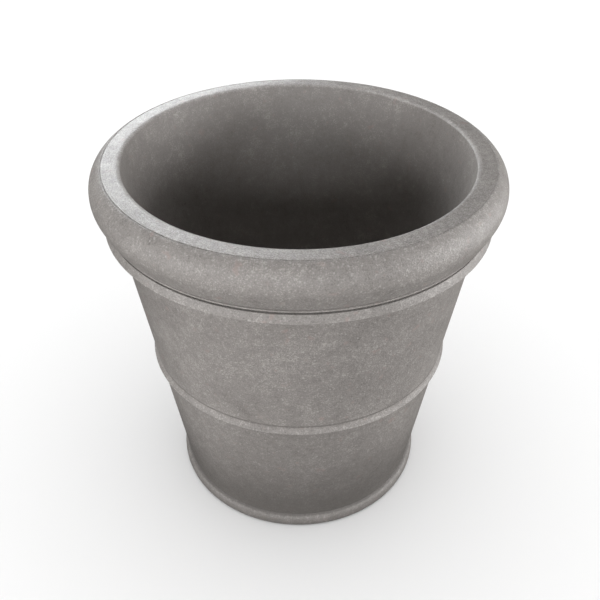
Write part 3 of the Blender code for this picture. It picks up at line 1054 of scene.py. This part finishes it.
class PLANTER_OT_feet(bpy.types.Operator):
    """Make the rubber feet with their screws and inserts"""

    bl_idname = "planter.feet"
    bl_label = "Feet"

    def execute(self, context):
        colours = context.scene.planter_colours
        rubber = rubber_finish("dark rubber, feet", colours, (0.5, 0.5, 0.0))
        steel = metal_finish("stainless steel", tuple(colours.steel), 0.30, ORIGIN)
        brass = metal_finish("brass", tuple(colours.brass), 0.36, (0.1, 0.2, 0.0))
        for number, place in enumerate(foot_places(), 1):
            self.pad(number, place, rubber)
            self.screw(number, place, steel)
            self.insert(number, place, brass)
        return {"FINISHED"}

    def pad(self, number, place, rubber):
        """A disc with a counterbore for the screw's head and rings of grip under it."""
        name = f"foot_pad_{number}"
        low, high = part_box(name)
        radius = (high.y - low.y) / 2
        screw_low, screw_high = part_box(f"foot_screw_{number}")
        head = (screw_high.y - screw_low.y) / 2 + 0.0008
        section = [(radius, high.z, 0.0005), (radius, low.z, 0.0010)]
        grooves = 3
        groove = 0.0006
        for i in range(grooves):
            middle = radius - 0.0030 - i * 0.0025
            section += [
                (middle + groove, low.z, 0.0002),
                (middle, low.z + groove, 0.0002),
                (middle - groove, low.z, 0.0002),
            ]
        section += [
            (head, low.z, 0.0004),
            (head, HEAD_SEAT, 0.0003),
            (SHANK_HOLE, HEAD_SEAT, 0.0002),
            (SHANK_HOLE, high.z, 0.0002),
        ]
        pad = turned(f"rubber_foot_{number}", rounded(section, steps=3), SMALL_STEPS, place=place)
        paint(pad, rubber)
        hang(pad, "shell", "foot_rubber", name)

    def screw(self, number, place, steel):
        """A low-headed screw with a hexagon socket and a rolled thread."""
        name = f"foot_screw_{number}"
        low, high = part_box(name)
        head = (high.y - low.y) / 2
        shank = 0.0020
        section = [
            (0.0, high.z, 0.0),
            (0.0012, high.z, 0.0002),
            (shank, high.z - 0.0010, 0.0003),
            (shank, HEAD_TOP, 0.0002),
            (head, HEAD_TOP, 0.0003),
            (head, low.z, 0.0007),
            (0.0, low.z, 0.0),
        ]
        screw = turned(f"foot_bolt_{number}", rounded(section, False, 3), SCREW_STEPS, False, place)
        combine(screw, [pegs("socket", [place], 0.0019, low.z - 0.0010, low.z + 0.0014, 6)])
        ridge = thread("bolt_thread", shank, 0.0045, high.z - 0.0008, 0.0007, 0.0003, 16, place)
        join(screw, [ridge])
        paint(screw, steel)
        hang(screw, "shell", "screw_steel", name)

    def insert(self, number, place, brass):
        """A short tube with a waist that holds it in the shell."""
        name = f"foot_insert_{number}"
        low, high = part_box(name)
        radius = (high.y - low.y) / 2
        lead = radius - 0.0004
        waist = radius - 0.0006
        middle = (low.z + high.z) / 2
        section = [
            (lead, high.z, 0.0003),
            (lead, middle + 0.0032, 0.0),
            (radius, middle + 0.0028, 0.0),
            (radius, middle + 0.0006, 0.0),
            (waist, middle + 0.0002, 0.0),
            (waist, middle - 0.0008, 0.0),
            (radius, middle - 0.0012, 0.0),
            (radius, low.z + 0.0006, 0.0),
            (lead, low.z, 0.0002),
            (SHANK_HOLE, low.z, 0.0002),
            (SHANK_HOLE, high.z, 0.0002),
        ]
        insert = turned(f"brass_insert_{number}", rounded(section, steps=3), SCREW_STEPS, place=place)
        paint(insert, brass)
        hang(insert, "shell", "insert_brass", name)


# Studio


class PLANTER_OT_studio(bpy.types.Operator):
    """Lay the floor, hang the lights and set up the camera"""

    bl_idname = "planter.studio"
    bl_label = "Studio"

    def execute(self, context):
        studio = context.scene.planter_studio
        floor = self.floor(studio)
        self.dome(studio, floor)
        pot_only = self.receivers("lit_by_softboxes", floor, "EXCLUDE")
        for name, (bearing, elevation, power, colour) in SOFTBOXES.items():
            lamp = self.softbox(name, bearing, elevation, power * studio.light, colour, studio)
            lamp.light_linking.receiver_collection = pot_only
        self.camera(context.scene, studio)
        context.scene.view_settings.view_transform = "Standard"
        return {"FINISHED"}

    def floor(self, studio):
        """A white floor that keeps its own light off the pot."""
        shape = bmesh.new()
        bmesh.ops.create_grid(shape, x_segments=1, y_segments=1, size=studio.dome_radius)
        floor = finished("studio_floor", shape)
        finish = Finish("studio floor")
        finish.set(Base_Color=(*studio.floor, 1.0), Roughness=0.9, Specular_IOR_Level=0.0)
        floor.data.materials.append(finish.material)
        floor.visible_diffuse = False
        floor.visible_glossy = False
        floor.visible_shadow = False
        return floor

    def dome(self, studio, floor):
        """A white dome all round, which lights the floor and is the background."""
        shape = bmesh.new()
        bmesh.ops.create_uvsphere(shape, u_segments=48, v_segments=24, radius=studio.dome_radius)
        bmesh.ops.reverse_faces(shape, faces=shape.faces)
        dome = finished("studio_dome", shape)
        dome.data.materials.append(self.glowing("studio dome", studio.dome))
        dome.light_linking.receiver_collection = self.receivers("lit_by_dome", floor, "INCLUDE")

    def glowing(self, name, strength):
        finish = Finish(name)
        finish.set(Base_Color=(0.0, 0.0, 0.0, 1.0))
        finish.set(Emission_Color=(1.0, 1.0, 1.0, 1.0), Emission_Strength=strength)
        return finish.material

    def receivers(self, name, floor, state):
        """A list of what a light reaches: the floor alone, or everything but the floor."""
        lit = bpy.data.collections.new(name)
        lit.objects.link(floor)
        lit.collection_objects[0].light_linking.link_state = state
        return lit

    def softbox(self, name, bearing, elevation, power, colour, studio):
        """A soft light that faces the pot, its bearing and elevation in degrees."""
        data = bpy.data.lights.new(name, "AREA")
        data.shape = "RECTANGLE"
        data.size, data.size_y = SOFTBOX_SIZE
        data.energy = power
        data.color = colour
        lamp = bpy.data.objects.new(name, data)
        bpy.context.scene.collection.objects.link(lamp)
        turn = radians(bearing)
        rise = radians(elevation)
        out = Vector((sin(turn) * cos(rise), -cos(turn) * cos(rise), sin(rise)))
        lamp.location = Vector(LIT_FROM) + out * studio.light_distance
        lamp.rotation_euler = out.to_track_quat("Z", "Y").to_euler()
        return lamp

    def camera(self, scene, studio):
        data = bpy.data.cameras.new("studio_camera")
        data.lens = studio.camera_lens
        data.sensor_width = SENSOR_WIDTH
        data.shift_x = studio.camera_shift
        data.clip_end = 4 * studio.dome_radius
        camera = bpy.data.objects.new("studio_camera", data)
        scene.collection.objects.link(camera)
        camera.location = (0.0, -studio.camera_distance, studio.camera_height)
        camera.rotation_euler = (pi / 2 - studio.camera_pitch, 0.0, 0.0)
        scene.camera = camera


class PLANTER_PT_panel(bpy.types.Panel):
    """The planter's sizes, colours and pieces"""

    bl_idname = "PLANTER_PT_panel"
    bl_label = "Street Planter"
    bl_space_type = "VIEW_3D"
    bl_region_type = "UI"
    bl_category = "Planter"

    def draw(self, context):
        for operator in PIECES:
            self.layout.operator(operator.bl_idname)
        for group in ("planter_sizes", "planter_colours", "planter_studio"):
            values = getattr(context.scene, group)
            box = self.layout.box()
            for name in values.__annotations__:
                box.prop(values, name)


PIECES = (
    PLANTER_OT_outer_shell,
    PLANTER_OT_liner,
    PLANTER_OT_gasket,
    PLANTER_OT_drain_outlet,
    PLANTER_OT_strainer,
    PLANTER_OT_stopper,
    PLANTER_OT_feet,
    PLANTER_OT_studio,
)
GROUPS = {
    "planter_sizes": PlanterSizes,
    "planter_colours": PlanterColours,
    "planter_studio": PlanterStudio,
}
CLASSES = (*GROUPS.values(), *PIECES, PLANTER_PT_panel)


def register():
    for each in CLASSES:
        bpy.utils.register_class(each)
    for name, group in GROUPS.items():
        setattr(bpy.types.Scene, name, PointerProperty(type=group))


def unregister():
    for name in GROUPS:
        delattr(bpy.types.Scene, name)
    for each in reversed(CLASSES):
        bpy.utils.unregister_class(each)


def main():
    register()
    for piece in PIECES:
        getattr(bpy.ops.planter, piece.bl_idname.split(".")[1])()


if __name__ == "__main__":
    main()
